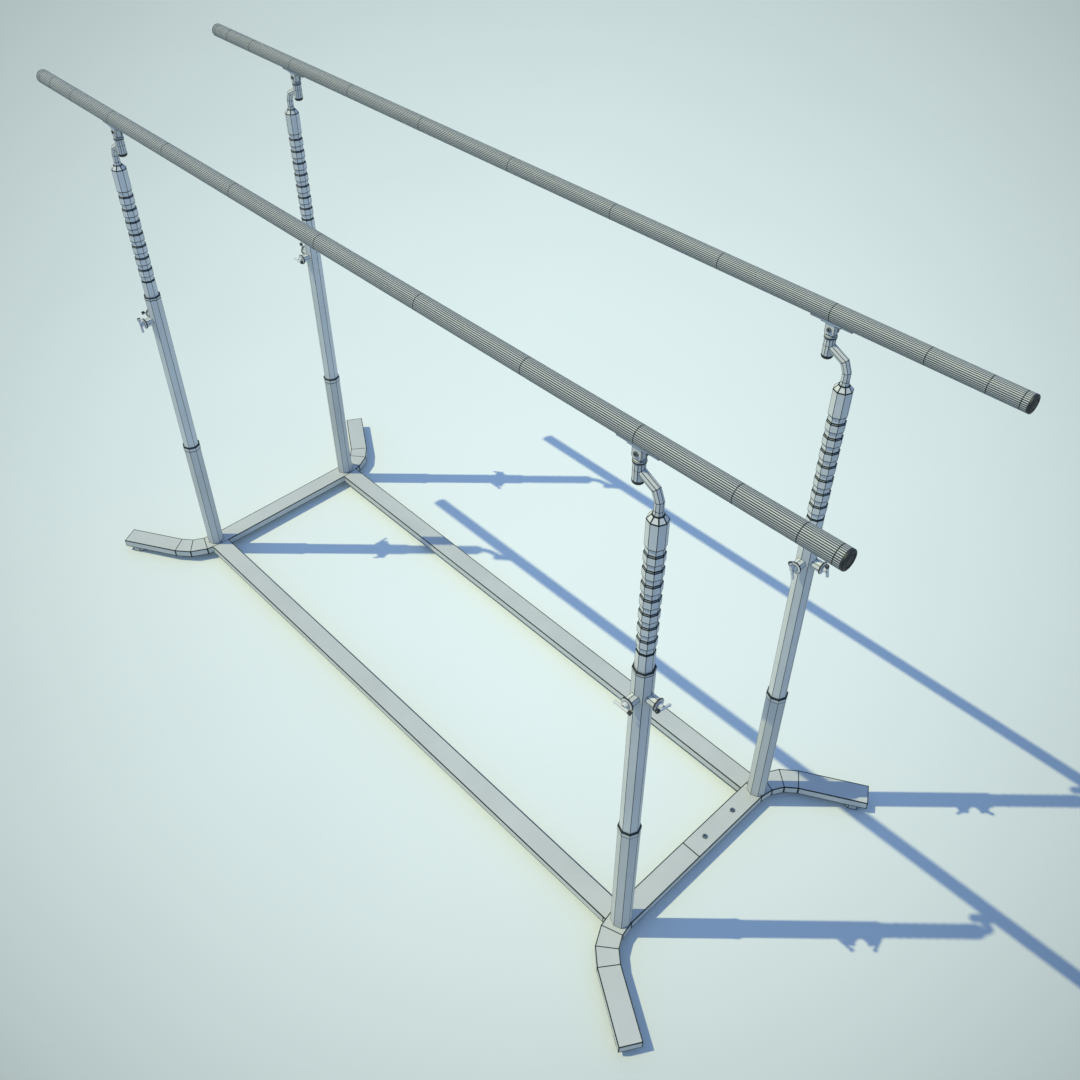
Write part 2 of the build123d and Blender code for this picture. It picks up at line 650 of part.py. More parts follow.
def rail():
    """Round rail on the X axis, bored for the near screws, slotted at the far end."""
    shape = rail_bar(RAIL_R, RAIL_LENGTH - 2 * RAIL_CAP_LENGTH)
    plug_bore = RAIL_LENGTH / 2 - RAIL_CAP_LENGTH - RAIL_CAP_PLUG_LENGTH / 2
    bore = Pos(0, 0, RAIL_AXIS_Z) * Rot(0, 90, 0) * Cylinder(RAIL_CAP_PLUG_R, RAIL_CAP_PLUG_LENGTH)
    underside = RAIL_AXIS_Z - RAIL_R
    tip = underside + SADDLE_SCREW_DEPTH
    for sign in (-1, 1):
        shape -= Pos(sign * plug_bore, 0, 0) * bore
        pilot = rod(SADDLE_SCREW_R, underside - OVERCUT, tip)
        shape -= Pos(swivel_x("near") + sign * SADDLE_SCREW_X, 0, 0) * pilot
        middle = swivel_x("far") + sign * SADDLE_SCREW_X
        slot_low, slot_high = middle - T_SLOT_OUTWARD, middle + T_SLOT_INWARD
        shape -= block(slot_low, slot_high, -T_SLOT_R, T_SLOT_R, underside - OVERCUT, tip)
        half_width = T_HEAD_R + SLIDER_GAP
        shape -= block(slot_low - T_HEAD_ROOM, slot_high + T_HEAD_ROOM, -half_width, half_width,
                       tip - T_HEAD_H - SLIDER_GAP, tip + SLIDER_GAP)
    return shape


def rail_cap():
    """Rounded end cap with a plug, for the +X end."""
    face = RAIL_LENGTH / 2
    low = face - RAIL_CAP_LENGTH
    groove_floor = face - RAIL_CAP_GROOVE_DEPTH
    cap = rod(RAIL_R, low, face)
    cap = fillet(cap.edges().sort_by(Axis.Z)[-1], RAIL_CAP_ROUND)
    cap -= rod(RAIL_CAP_GROOVE_R, groove_floor, face)
    cap += rod(RAIL_CAP_BUTTON_R, groove_floor, face - RAIL_CAP_BUTTON_DEPTH)
    cap += rod(RAIL_CAP_PLUG_R, low - RAIL_CAP_PLUG_LENGTH, low)
    return Pos(0, 0, RAIL_AXIS_Z) * Rot(0, 90, 0) * cap


# ---- clamp levers ---------------------------------------------------------------------
def lever_pieces(angle):
    """Clamp lever on the Z axis: screw, disc with hub, bar, and end cap.

    The bar lies across the axis, its capped end turned by angle from +X
    towards +Y.
    """
    disc_low = BOSS_REACH + REST_GAP
    disc_high = disc_low + DISC_T
    screw = rod(SCREW_R, SCREW_TIP, disc_low)
    disc = rod(DISC_R, disc_low, disc_high)
    disc = fillet(disc.edges().filter_by(GeomType.CIRCLE), DISC_ROUND)
    hub_foot = Pos(0, 0, disc_high) * Circle(HUB_R)
    hub_tip = Pos(0, 0, disc_high + HUB_H) * Circle(HUB_TIP_R)
    hub = loft([hub_foot, hub_tip])
    axis_z = disc_low + BAR_OFFSET
    along = Pos(0, 0, axis_z) * Rot(0, 90, 0)
    bar = along * rod(BAR_R, -BAR_TO_TIP, BAR_TO_CAP)
    bar = fillet(bar.edges().sort_by(Axis.X)[0], BAR_ROUND)
    hub += Pos(0, 0, disc_high) * rod(HUB_TIP_R, 0, axis_z - disc_high)
    hub -= along * rod(BAR_R, -BAR_TO_TIP, BAR_TO_CAP)
    cap = along * rod(LEVER_CAP_R, BAR_TO_CAP, BAR_TO_CAP + LEVER_CAP_H)
    cap = fillet(cap.edges().sort_by(Axis.X)[-1], LEVER_CAP_ROUND)
    return [Rot(0, 0, angle) * piece for piece in (screw, disc + hub, bar, cap)]


# ---- write everything -------------------------------------------------------------------
def build_moving_uprights():
    post, plug, head = notched_post(), guide_plug(), post_head()
    neck, housing, seals, pin = swan_neck(), swivel_housing(), housing_seals(), swivel_pin()
    for end, side in every_post():
        where = f"{end}_{side}"
        gap = 0.0 if end == "near" else SLIDER_GAP
        save(f"notched_post_{where}", at_post(end, side, post), at_post(end, side, plug))
        save(f"post_head_{where}", at_post(end, side, head))
        save(f"swan_neck_{where}", at_post(end, side, neck))
        save(f"swivel_housing_{where}", *[at_post(end, side, half) for half in housing])
        save(f"housing_seals_{where}", *[at_post(end, side, seal) for seal in seals])
        save(f"swivel_pin_{where}", at_post(end, side, pin))
        save(f"rail_clevis_{where}", at_post(end, side, rail_clevis(gap)))
        fasteners = [cross_bolt(), cross_nut(), *saddle_screws(end)]
        save(f"saddle_fasteners_{where}", *[at_post(end, side, piece) for piece in fasteners])


def build_rails():
    for side, sign in SIDE_SIGNS.items():
        y = sign * POST_SPACING_Y / 2
        cap = rail_cap()
        save(f"{side}_rail", Pos(0, y, 0) * rail())
        save(f"{side}_rail_caps", Pos(0, y, 0) * cap, Pos(0, y, 0) * mirror(cap, about=Plane.YZ))


def build_levers():
    for (end, side, face), angle in LEVER_ANGLES.items():
        location, handed = lever_frame(end, side, face)
        pieces = [location * piece for piece in lever_pieces(handed * angle)]
        save(f"clamp_lever_{end}_{side}_{face}", *pieces)


os.makedirs("parts", exist_ok=True)
build_base()
build_fixed_uprights()
build_moving_uprights()
build_rails()
build_levers()
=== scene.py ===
import json
from math import cos, pi, radians, sin, tan

import bmesh
import bpy
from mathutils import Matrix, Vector
from mathutils.bvhtree import BVHTree

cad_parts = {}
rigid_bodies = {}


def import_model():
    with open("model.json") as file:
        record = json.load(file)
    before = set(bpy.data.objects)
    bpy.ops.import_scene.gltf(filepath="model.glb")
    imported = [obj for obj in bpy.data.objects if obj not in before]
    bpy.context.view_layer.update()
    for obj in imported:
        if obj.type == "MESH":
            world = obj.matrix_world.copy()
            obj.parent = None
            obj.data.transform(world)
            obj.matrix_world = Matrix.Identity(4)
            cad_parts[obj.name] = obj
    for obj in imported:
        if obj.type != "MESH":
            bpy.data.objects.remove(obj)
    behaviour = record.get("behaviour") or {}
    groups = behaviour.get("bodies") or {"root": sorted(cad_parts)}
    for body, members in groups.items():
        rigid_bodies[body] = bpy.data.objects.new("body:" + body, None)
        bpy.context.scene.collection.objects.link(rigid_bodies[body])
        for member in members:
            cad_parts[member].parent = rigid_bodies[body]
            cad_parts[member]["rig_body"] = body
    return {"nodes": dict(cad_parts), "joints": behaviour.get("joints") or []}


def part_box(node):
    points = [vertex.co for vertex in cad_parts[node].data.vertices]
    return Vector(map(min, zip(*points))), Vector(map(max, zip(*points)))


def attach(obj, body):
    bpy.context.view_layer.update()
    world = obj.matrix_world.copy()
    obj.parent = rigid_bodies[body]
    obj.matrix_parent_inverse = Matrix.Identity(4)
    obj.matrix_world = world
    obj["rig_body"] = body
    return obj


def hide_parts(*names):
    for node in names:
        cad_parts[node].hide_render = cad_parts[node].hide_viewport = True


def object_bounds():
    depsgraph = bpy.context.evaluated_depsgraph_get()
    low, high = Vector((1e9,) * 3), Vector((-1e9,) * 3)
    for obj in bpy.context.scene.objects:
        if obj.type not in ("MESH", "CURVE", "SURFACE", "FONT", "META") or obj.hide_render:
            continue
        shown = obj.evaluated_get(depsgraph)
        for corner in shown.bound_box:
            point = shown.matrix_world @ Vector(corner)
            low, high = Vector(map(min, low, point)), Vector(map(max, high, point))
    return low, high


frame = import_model()
NODES = frame["nodes"]
JOINTS = {joint["name"]: joint for joint in frame["joints"]}
CAD_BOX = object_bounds()

ENDS = ("near", "far")
SIDES = ("front", "back")
FACES = ("side", "end")
POSTS = [f"{end}_{side}" for end in ENDS for side in SIDES]
BEAMS = ("near_cross_beam", "far_cross_beam", "front_long_beam", "back_long_beam")

# Dark lines along the edges, in metres: how far each reaches from its edge.
BEAM_LINE = 0.0034
RIM_LINE = 0.0020
CORNER_LINE = 0.0010
FINE_LINE = 0.0009
LINE_HEIGHT = 0.00009     # how far they stand out
SEAM_SHARE = 0.6          # a seam between two solids, set against an edge
OPEN_AIR = 0.100          # a face that sees this far counts as seen
SIGHT_START = 0.0002
JOINED_GAP = 0.002        # a part closer than this carries on from an edge
FACES_MEET = -0.9         # product of two normals that look at each other
UPRIGHT_RISE = 0.8        # rise of an edge that counts as upright
SHARPEST_LIFT = 0.3       # keeps the line low on a very sharp edge
SAME_VERTEX = 0.00001
FLAT_ENOUGH = 0.5         # degrees between faces taken as one

# Rail: flutes along it and lines across it.
FLUTES = 32
FLUTE_WIDTH = 0.0024
FLUTE_DEPTH = 0.00045
FLUTE_FLOOR = 0.7         # share of a flute's width that is its floor
CROSS_LINES = (0.0, 0.436, 0.832, 1.191, 1.461, 1.621, 1.704)
SLOT_HALF_WIDTH = 0.0028
SLOT_DEPTH = 0.012
SLOT_FROM_SWIVEL = ((-0.090, -0.040), (0.002, 0.052))

# Bends of the cross beams, as the CAD has them.
BEAM_HALF_WIDTH = 0.039
BEND_START = 0.350
BEND_TURNS = (10, 19, 20, 10)
BEND_FACET = 0.061

# Clamp levers, along their axis from the joint and out from it.
DISC_R = 0.0195
DISC_THICKNESS = 0.005
KNURLS = 36
KNURL_DEPTH = 0.0009
KNURL_INNER_R = DISC_R - 0.001
KNURL_OUTER_R = DISC_R + 0.0011
KNURL_INSET = 0.0002
BAR_HEIGHT = 0.019
GRIP_FROM = 0.0196
GRIP_TO = 0.0284
GRIP_R = 0.0066
GRIP_INNER_R = 0.001
GRIP_RIBS = 14
GRIP_RIB_DEPTH = 0.0007


# ---------------------------------------------------------------- materials
class Graph:
    """Small helper that wires one material's nodes."""

    def __init__(self, name):
        self.material = bpy.data.materials.new(name)
        self.material.use_nodes = True
        self.tree = self.material.node_tree
        self.shader = self.tree.nodes["Principled BSDF"]
        self.place = self.node("ShaderNodeTexCoord").outputs["Object"]

    def node(self, kind, **settings):
        made = self.tree.nodes.new(kind)
        for key, value in settings.items():
            setattr(made, key, value)
        return made

    def link(self, output, socket):
        self.tree.links.new(output, socket)

    def feed(self, node, socket, value):
        target = node.inputs[socket]
        if isinstance(value, bpy.types.NodeSocket):
            self.link(value, target)
        else:
            target.default_value = value

    def scaled(self, scale):
        mapping = self.node("ShaderNodeMapping")
        self.link(self.place, mapping.inputs["Vector"])
        mapping.inputs["Scale"].default_value = scale
        return mapping.outputs["Vector"]

    def noise(self, scale, detail=4.0, rough=0.55, stretch=(1, 1, 1)):
        tex = self.node("ShaderNodeTexNoise")
        self.link(self.scaled(stretch), tex.inputs["Vector"])
        tex.inputs["Scale"].default_value = scale
        tex.inputs["Detail"].default_value = detail
        tex.inputs["Roughness"].default_value = rough
        return tex.outputs["Fac"]

    def math(self, operation, a, b=0.0):
        made = self.node("ShaderNodeMath", operation=operation)
        self.feed(made, 0, a)
        self.feed(made, 1, b)
        return made.outputs[0]

    def along(self, direction, origin):
        """Distance of a place from origin, measured along a direction."""
        offset = self.node("ShaderNodeVectorMath", operation="SUBTRACT")
        self.link(self.place, offset.inputs[0])
        offset.inputs[1].default_value = origin
        dot = self.node("ShaderNodeVectorMath", operation="DOT_PRODUCT")
        self.link(offset.outputs["Vector"], dot.inputs[0])
        dot.inputs[1].default_value = direction
        return dot.outputs["Value"]

    def ramp(self, value, stops):
        made = self.node("ShaderNodeValToRGB")
        self.link(value, made.inputs["Fac"])
        elements = made.color_ramp.elements
        while len(elements) < len(stops):
            elements.new(0.5)
        for element, (position, colour) in zip(elements, stops):
            element.position = position
            element.color = (*colour, 1.0)
        return made.outputs["Color"]

    def span(self, value, low, high, out_low, out_high):
        made = self.node("ShaderNodeMapRange")
        self.feed(made, 0, value)
        for index, number in enumerate((low, high, out_low, out_high), start=1):
            made.inputs[index].default_value = number
        return made.outputs[0]

    def mix(self, factor, a, b):
        made = self.node("ShaderNodeMix", data_type="RGBA")
        self.feed(made, 0, factor)
        self.feed(made, 6, a if isinstance(a, bpy.types.NodeSocket) else (*a, 1.0))
        self.feed(made, 7, b if isinstance(b, bpy.types.NodeSocket) else (*b, 1.0))
        return made.outputs[2]

    def bump(self, height, strength, distance):
        made = self.node("ShaderNodeBump")
        self.link(height, made.inputs["Height"])
        made.inputs["Strength"].default_value = strength
        made.inputs["Distance"].default_value = distance
        self.link(made.outputs["Normal"], self.shader.inputs["Normal"])

    def finish(self, colour, roughness, metallic=0.0, specular=0.5):
        self.feed(self.shader, "Base Color", colour)
        self.feed(self.shader, "Roughness", roughness)
        self.shader.inputs["Metallic"].default_value = metallic
        self.shader.inputs["Specular IOR Level"].default_value = specular
        return self.material


def shade(colour, factor):
    return tuple(channel * factor for channel in colour)


def powder_coat(name, colour, gloss=0.46):
    """Satin powder coat: fine orange peel, faint clouding and handling marks."""
    g = Graph(name)
    cloud = g.noise(3.5, detail=5.0, rough=0.6)
    fleck = g.noise(420.0, detail=2.0)
    scuff = g.noise(26.0, detail=7.0, rough=0.72, stretch=(1.0, 1.0, 0.35))
    base = g.ramp(cloud, [(0.34, shade(colour, 0.94)), (0.66, shade(colour, 1.04))])
    speckled = g.mix(g.span(fleck, 0.56, 0.72, 0.0, 0.26), base, shade(colour, 0.82))
    worn = g.mix(g.span(scuff, 0.60, 0.74, 0.0, 0.28), speckled, shade(colour, 1.14))
    satin = g.span(scuff, 0.35, 0.75, gloss, gloss + 0.16)
    rough = g.math("ADD", satin, g.span(fleck, 0.3, 0.7, -0.03, 0.05))
    peel = g.math("ADD", g.noise(300.0, detail=2.0), scuff)
    g.bump(peel, 0.20, 0.0005)
    return g.finish(worn, rough, specular=0.35)


def edge_line(name, colour):
    """Dark, slightly worn trim along an edge."""
    g = Graph(name)
    mottled = g.noise(160.0, detail=4.0)
    tone = g.ramp(mottled, [(0.3, shade(colour, 0.75)), (0.7, shade(colour, 1.6))])
    g.bump(mottled, 0.3, 0.0003)
    return g.finish(tone, g.span(mottled, 0.3, 0.7, 0.50, 0.68), specular=0.25)


def rail_laminate(name, colour):
    """Lacquered laminate with fine grain drawn out along the rail."""
    g = Graph(name)
    grain = g.noise(34.0, detail=8.0, rough=0.68, stretch=(0.05, 6.0, 6.0))
    fibre = g.noise(120.0, detail=3.0, stretch=(0.03, 6.0, 6.0))
    hand = g.noise(4.0, detail=4.0, stretch=(1.0, 0.6, 0.6))
    stops = [(0.30, shade(colour, 0.84)), (0.52, colour), (0.74, shade(colour, 1.10))]
    lined = g.mix(g.span(fibre, 0.55, 0.70, 0.0, 0.30), g.ramp(grain, stops), shade(colour, 0.74))
    chalk = g.mix(g.span(hand, 0.52, 0.72, 0.0, 0.20), lined, shade(colour, 1.25))
    rough = g.math("ADD", g.span(hand, 0.3, 0.7, 0.42, 0.58), g.span(fibre, 0.3, 0.7, -0.03, 0.05))
    g.bump(g.math("ADD", grain, fibre), 0.16, 0.0005)
    return g.finish(chalk, rough, specular=0.35)


def moulded(name, colour, rough=0.5):
    """Plastic or rubber moulding with a fine grain and a little dust."""
    g = Graph(name)
    grain = g.noise(520.0, detail=3.0)
    dust = g.noise(30.0, detail=6.0, rough=0.7)
    base = g.ramp(grain, [(0.35, shade(colour, 0.8)), (0.65, shade(colour, 1.5))])
    dusty = g.mix(g.span(dust, 0.55, 0.75, 0.0, 0.16), base, (0.16, 0.17, 0.17))
    g.bump(grain, 0.30, 0.0003)
    return g.finish(dusty, g.span(dust, 0.3, 0.7, rough - 0.08, rough + 0.14))


def zinc_plate(name, colour):
    """Zinc plating: cloudy bloom over fine turning marks."""
    g = Graph(name)
    bloom = g.noise(60.0, detail=6.0, rough=0.7)
    brush = g.noise(260.0, detail=2.0, stretch=(1.0, 1.0, 6.0))
    base = g.ramp(bloom, [(0.3, shade(colour, 0.7)), (0.7, shade(colour, 1.25))])
    g.bump(brush, 0.2, 0.0003)
    return g.finish(base, g.span(bloom, 0.3, 0.7, 0.28, 0.52), metallic=1.0)


BASE_PAINT = powder_coat("base_paint", (0.545, 0.568, 0.545))
LOWER_PAINT = powder_coat("lower_tube_paint", (0.55, 0.572, 0.548))
UPRIGHT_PAINT = powder_coat("upright_paint", (0.66, 0.683, 0.655))
INNER_PAINT = powder_coat("inner_post_paint", (0.71, 0.735, 0.705))
ARM_PAINT = powder_coat("arm_paint", (0.68, 0.705, 0.675))
LEVER_PAINT = powder_coat("lever_paint", (0.66, 0.68, 0.66), gloss=0.40)
RAIL_GREY = rail_laminate("rail_laminate", (0.52, 0.54, 0.52))
LINE = edge_line("edge_line", (0.014, 0.024, 0.024))
BLACK = moulded("black_plastic", (0.016, 0.020, 0.020))
RUBBER = moulded("pad_rubber", (0.40, 0.42, 0.40), rough=0.72)
ZINC = zinc_plate("fastener_steel", (0.36, 0.39, 0.40))


# ---------------------------------------------------------------- small tools
def paint(name, material):
    """Give a CAD node its finish."""
    slots = NODES[name].data.materials
    slots.clear()
    slots.append(material)


def add_piece(name, mesh, body, slot, *materials):
    """Put a finished mesh into the scene, riding on a CAD body."""
    for material in materials:
        mesh.materials.append(material)
    made = bpy.data.objects.new(name, mesh)
    bpy.context.scene.collection.objects.link(made)
    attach(made, body)
    return made


def mesh_of(name, vertices, faces):
    mesh = bpy.data.meshes.new(name)
    mesh.from_pydata(vertices, [], faces)
    mesh.validate()
    bm = bmesh.new()
    bm.from_mesh(mesh)
    bmesh.ops.recalc_face_normals(bm, faces=bm.faces)
    bm.to_mesh(mesh)
    bm.free()
    return mesh


def body_of(name):
    return NODES[name]["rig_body"]


def all_solids():
    """One search tree of every CAD face, to tell open air from the inside of a tube."""
    vertices, faces = [], []
    for node in NODES.values():
        start = len(vertices)
        vertices.extend(vertex.co[:] for vertex in node.data.vertices)
        for polygon in node.data.polygons:
            faces.append([start + index for index in polygon.vertices])
    return BVHTree.FromPolygons(vertices, faces)


SOLIDS = all_solids()


# ---------------------------------------------------------------- dark lines along the edges
def sees_out(point, normal):
    hit = SOLIDS.ray_cast(point + normal * SIGHT_START, normal, OPEN_AIR)
    return hit[0] is None


def meets_part(point, normal):
    """Whether another part's face stands right against this place."""
    return any(near[1].dot(normal) < FACES_MEET
               for near in SOLIDS.find_nearest_range(point, JOINED_GAP))


def inside_box(point):
    low, high = CAD_BOX
    return Vector(min(max(c, lo), hi) for c, lo, hi in zip(point, low, high))


def edge_sides(edge):
    """For each of an edge's two faces: its normal, the way into it, and its depth."""
    sides = []
    for loop in edge.link_loops:
        face = loop.face
        run = (loop.link_loop_next.vert.co - loop.vert.co).normalized()
        inward = face.normal.cross(run)
        depth = max((vertex.co - loop.vert.co).dot(inward) for vertex in face.verts)
        sides.append((face.normal.copy(), inward, depth))
    return sides


def line_section(corner, sides, reaches):
    """Cross-section of the line over one corner: two thin flanges that meet."""
    (normal_a, in_a, _), (normal_b, in_b, _) = sides
    foot_a = corner + in_a * reaches[0]
    foot_b = corner + in_b * reaches[1]
    lift = (normal_a + normal_b) / max(1.0 + normal_a.dot(normal_b), SHARPEST_LIFT)
    section = [foot_a, foot_a + normal_a * LINE_HEIGHT, corner + lift * LINE_HEIGHT,
               foot_b + normal_b * LINE_HEIGHT, foot_b, corner]
    return [inside_box(point) for point in section]


SECTION_SIDES = [(i, (i + 1) % 6, (i + 1) % 6 + 6, i + 6) for i in range(6)]
SECTION_ENDS = [(0, 5, 2, 1), (2, 5, 4, 3), (6, 7, 8, 11), (8, 9, 10, 11)]


def edging(name, rim, corner=None, angle=20.0, ends_below=None, joined=False):
    """Real dark trim over the visible edges of a CAD node.

    rim is how far it reaches from an edge, and corner the same for upright
    edges.  An edge bends by more than angle.  Nothing is made lower than
    ends_below.  joined leaves out the edges where another part carries on.
    """
    bm = bmesh.new()
    bm.from_mesh(NODES[name].data)
    bmesh.ops.remove_doubles(bm, verts=bm.verts, dist=SAME_VERTEX)
    bmesh.ops.dissolve_limit(bm, angle_limit=radians(FLAT_ENOUGH), verts=bm.verts, edges=bm.edges)
    vertices, faces = [], []
    for edge in bm.edges:
        joins = len(edge.link_faces)
        if joins < 2 or joins == 2 and edge.calc_face_angle() < radians(angle):
            continue
        low, high = (vertex.co.copy() for vertex in edge.verts)
        if ends_below:
            if max(low.z, high.z) <= ends_below:
                continue
            for end, other in ((low, high), (high, low)):
                if end.z < ends_below:
                    end += (other - end) * ((ends_below - end.z) / (other.z - end.z))
        upright = abs((high - low).normalized().z) > UPRIGHT_RISE
        width = corner if corner and upright else rim
        sides = edge_sides(edge)
        middle = (low + high) / 2
        spots = [(middle + inward * min(width, depth) / 2, normal)
                 for normal, inward, depth in sides]
        seen = [sees_out(*spot) for spot in spots]
        if joined and joins == 2 and any(meets_part(*spot) for spot in spots):
            continue
        if joins > 2:
            sides = [side for side, clear in zip(sides, seen) if clear]
        elif not any(seen):
            continue
        if len(sides) != 2:
            continue
        share = SEAM_SHARE if joins > 2 else 1.0
        reaches = [min(width * share, depth / 2) for _, _, depth in sides]
        start = len(vertices)
        vertices.extend(line_section(low, sides, reaches))
        vertices.extend(line_section(high, sides, reaches))
        faces.extend([start + index for index in face] for face in SECTION_SIDES + SECTION_ENDS)
    bm.free()
    piece = f"{name}_lines"
    return add_piece(piece, mesh_of(piece, vertices, faces), body_of(name), "black_plastic", LINE)


# ---------------------------------------------------------------- base
BOX_FACES = [(3, 2, 1, 0), (4, 5, 6, 7), (0, 1, 5, 4), (1, 2, 6, 5), (2, 3, 7, 6), (3, 0, 4, 7)]


def bend_places():
    """Each bend of a quarter of a cross beam: its place and its mitre's direction."""
    x, y, heading = 0.0, BEND_START, 0.0
    places = []
    for turn in BEND_TURNS:
        middle = radians(heading + turn / 2)
        places.append((Vector((x, y, 0)), Vector((cos(middle), -sin(middle), 0)), radians(turn / 2)))
        heading += turn
        x += BEND_FACET * sin(radians(heading))
        y += BEND_FACET * cos(radians(heading))
    return places


def cross_beam_place(end):
    """A cross beam's box, the way out of the frame along X, and its axis."""
    low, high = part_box(f"{end}_cross_beam")
    if end == "near":
        return low, high, 1, low.x + BEAM_HALF_WIDTH
    return low, high, -1, high.x - BEAM_HALF_WIDTH


def bend_seams(end):
    """Thin dark seams across the top and underside of a cross beam's bends."""
    low, high, outward, axis_x = cross_beam_place(end)
    vertices, faces = [], []
    for side in (-1, 1):
        for place, across, half_turn in bend_places():
            along = Vector((-across.y, across.x, 0))
            reach = BEAM_HALF_WIDTH / cos(half_turn)
            for level, lift in ((high.z, LINE_HEIGHT), (low.z, -LINE_HEIGHT)):
                start = len(vertices)
                for height in (0.0, lift):
                    for u, v in ((-1, -1), (1, -1), (1, 1), (-1, 1)):
                        spot = place + across * (u * reach) + along * (v * BEAM_LINE / 2)
                        vertices.append((axis_x + outward * spot.x, side * spot.y, level + height))
                faces.extend([start + index for index in face] for face in BOX_FACES)
    piece = f"{end}_beam_seams"
    add_piece(piece, mesh_of(piece, vertices, faces), "base", "black_plastic", LINE)


def corner_fills(end):
    """Wedges between a cross beam's first bends and the square ends of the long beams."""
    low, high, outward, axis_x = cross_beam_place(end)
    place, across, half_turn = bend_places()[0]
    root = place - across * (BEAM_HALF_WIDTH / cos(half_turn))
    slope = tan(2 * half_turn)
    rim = -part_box("front_long_beam")[0].y
    for kind, start_y, bottom, lift, slot, material in (
            ("fill", root.y, low.z, 0.0, "base_paint", BASE_PAINT),
            ("fill_lines", rim - BEAM_LINE, high.z - BEAM_LINE, LINE_HEIGHT, "black_plastic", LINE)):
        outline = ((root.x, start_y), (root.x + (start_y - root.y) * slope, start_y),
                   (root.x + (rim - root.y) * slope, rim + lift), (root.x, rim + lift))
        vertices, faces = [], []
        for side in (-1, 1):
            faces.extend([len(vertices) + index for index in face] for face in BOX_FACES)
            vertices.extend((axis_x + outward * x, side * y, level)
                            for level in (bottom, high.z + lift) for x, y in outline)
        piece = f"{end}_corner_{kind}"
        add_piece(piece, mesh_of(piece, vertices, faces), "base", slot, material)


def dress_base():
    for name in BEAMS:
        paint(name, BASE_PAINT)
        edging(name, BEAM_LINE, angle=8.0, joined=True)
    paint("foot_end_plates", BASE_PAINT)
    edging("foot_end_plates", BEAM_LINE, joined=True)
    for end in ENDS:
        bend_seams(end)
        corner_fills(end)
    paint("foot_pads", RUBBER)
    edging("foot_pads", RIM_LINE)
    for name in ("beam_joint_spigots", "pad_screws", "beam_bolts"):
        paint(name, ZINC)
    edging("beam_bolts", FINE_LINE)


# ---------------------------------------------------------------- uprights
def dress_uprights():
    for name in ("lower_tubes", "lower_collars"):
        paint(name, LOWER_PAINT)
    for name in ("middle_tubes", "upper_collars", "lever_bosses"):
        paint(name, UPRIGHT_PAINT)
    edging("lower_tubes", RIM_LINE, CORNER_LINE)
    edging("middle_tubes", RIM_LINE, CORNER_LINE)
    edging("lower_collars", RIM_LINE, CORNER_LINE)
    edging("upper_collars", RIM_LINE, CORNER_LINE)
    edging("lever_bosses", CORNER_LINE)
    for name in ("lower_bushes", "upper_bushes"):
        paint(name, BLACK)
    collar_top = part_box("upper_collars")[1].z
    for post in POSTS:
        paint(f"notched_post_{post}", INNER_PAINT)
        edging(f"notched_post_{post}", RIM_LINE, CORNER_LINE, angle=8.0, ends_below=collar_top)
        paint(f"post_head_{post}", INNER_PAINT)
        edging(f"post_head_{post}", RIM_LINE, CORNER_LINE)


# ---------------------------------------------------------------- arms and saddles
def dress_arms():
    for post in POSTS:
        paint(f"swan_neck_{post}", ARM_PAINT)
        edging(f"swan_neck_{post}", FINE_LINE, angle=5.0)
        paint(f"swivel_housing_{post}", ARM_PAINT)
        edging(f"swivel_housing_{post}", FINE_LINE)
        paint(f"housing_seals_{post}", BLACK)
        paint(f"swivel_pin_{post}", ARM_PAINT)
        edging(f"swivel_pin_{post}", FINE_LINE, angle=40.0)
        paint(f"rail_clevis_{post}", ARM_PAINT)
        edging(f"rail_clevis_{post}", FINE_LINE, angle=40.0)
        paint(f"saddle_fasteners_{post}", ZINC)
        edging(f"saddle_fasteners_{post}", FINE_LINE, angle=40.0)


# ---------------------------------------------------------------- rails
RAIL_R = (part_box("front_rail")[1].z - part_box("front_rail")[0].z) / 2


def groove(half):
    """Offsets across a groove, each with whether it is cut away."""
    return (-half, False), (-FLUTE_FLOOR * half, True), (FLUTE_FLOOR * half, True), (half, False)


def flute_ring():
    """Angle, and whether it is cut away, for each point round the rail."""
    pitch = 2 * pi / FLUTES
    half = FLUTE_WIDTH / 2 / RAIL_R
    bottom = 3 * FLUTES // 4
    ring = []
    for k in range(FLUTES):
        middle = k * pitch
        ring.extend((middle + offset, cut) for offset, cut in groove(half))
        if k == bottom:
            ring.append((middle + SLOT_HALF_WIDTH / RAIL_R, False))
        elif k == bottom - 1:
            ring.append((middle + pitch - SLOT_HALF_WIDTH / RAIL_R, False))
        else:
            ring.append((middle + pitch / 2, False))
    return ring


def rail_stations(half_length, slots):
    """Places along the rail as (x, cut): rings to join up, in order."""
    stations = [(-half_length, False), (half_length, False)]
    for place in sorted({sign * x for x in CROSS_LINES for sign in (-1, 1)}):
        stations.extend((place + offset, cut) for offset, cut in groove(FLUTE_WIDTH / 2))
    stations.extend((x, False) for slot in slots for x in slot)
    return sorted(stations)


def slot_walls(x_low, x_high, y, z):
    """Inside of one T-slot: a box open at the bottom, standing in the rail."""
    drop = RAIL_R * (1 - cos(SLOT_HALF_WIDTH / RAIL_R))
    vertices = []
    for level in (z - RAIL_R + drop, z - RAIL_R + SLOT_DEPTH):
        for x, side in ((x_low, -1), (x_high, -1), (x_high, 1), (x_low, 1)):
            vertices.append((x, y + side * SLOT_HALF_WIDTH, level))
    return vertices, BOX_FACES[1:]


